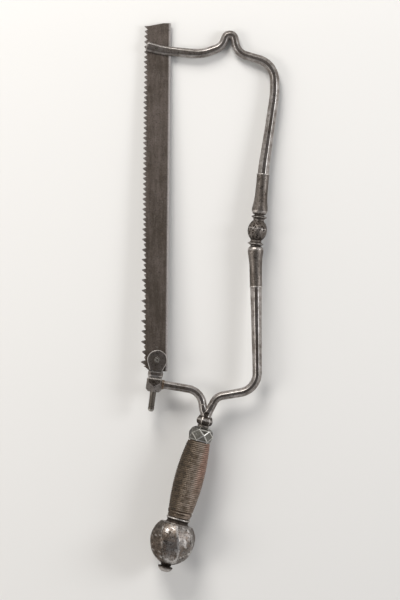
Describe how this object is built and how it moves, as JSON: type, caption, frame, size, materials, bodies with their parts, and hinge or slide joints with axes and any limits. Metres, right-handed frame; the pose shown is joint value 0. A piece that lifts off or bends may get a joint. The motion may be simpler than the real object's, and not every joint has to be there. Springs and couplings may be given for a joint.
{
  "type": "amputation saw",
  "caption": "Bow-framed surgical bone saw with a toothed blade strained by a clevis, a turned baluster in the bow, a wire-bound grip and a faceted pommel.",
  "frame": {"origin": "middle of the flat butt face at the free end of the handle", "axes": "+Y along the blade towards its free end, +X from the blade towards the bow, +Z out of the saw's face; the saw lies flat, its middle plane at z = 0"},
  "size_m": [0.1361, 0.549, 0.045],
  "materials": {
    "blade_steel": "worn flat steel with brown patina",
    "forged_iron": "filed and burnished forged bar",
    "turned_iron": "turned and chiselled, burnished on the edges",
    "pommel_iron": "faceted, pitted, polished by hands",
    "binding_wire": "tarnished copper wire",
    "grip_wood": "hidden under the wire",
    "braze_brass": "dull brazing metal",
    "pin_steel": "riveted over and filed"
  },
  "bodies": {
    "frame": {"end_button": "turned_iron", "pommel": "pommel_iron", "pommel_collar": "turned_iron", "grip_core": "grip_wood", "wire_binding": "binding_wire", "end_binding": "binding_wire", "grip_ferrule": "turned_iron", "neck_ring": "turned_iron", "yoke_bead": "turned_iron", "yoke": "forged_iron", "eye_block": "turned_iron", "lower_arm": "forged_iron", "arm_braze": "braze_brass", "centre_knop": "turned_iron", "upper_sleeve": "turned_iron", "lower_sleeve": "turned_iron", "lower_bow": "forged_iron", "upper_bow": "forged_iron", "blade_hook_pin": "pin_steel"},
    "clevis": {"tension_clevis": "forged_iron", "clevis_pin": "pin_steel", "clevis_pin_washers": "pin_steel"},
    "blade": {"blade": "blade_steel"}
  },
  "joints": [
    {"name": "tension_slide", "type": "slide", "parent": "frame", "child": "clevis", "axis": [0.1193, 0.9929, 0], "range_m": [0, 0.002]},
    {"name": "blade_swing", "type": "hinge", "parent": "clevis", "child": "blade", "pos_m": [-0.00896, 0.21111, 0], "axis": [0, 0, 1], "range_deg": [0, 95]}
  ]
}
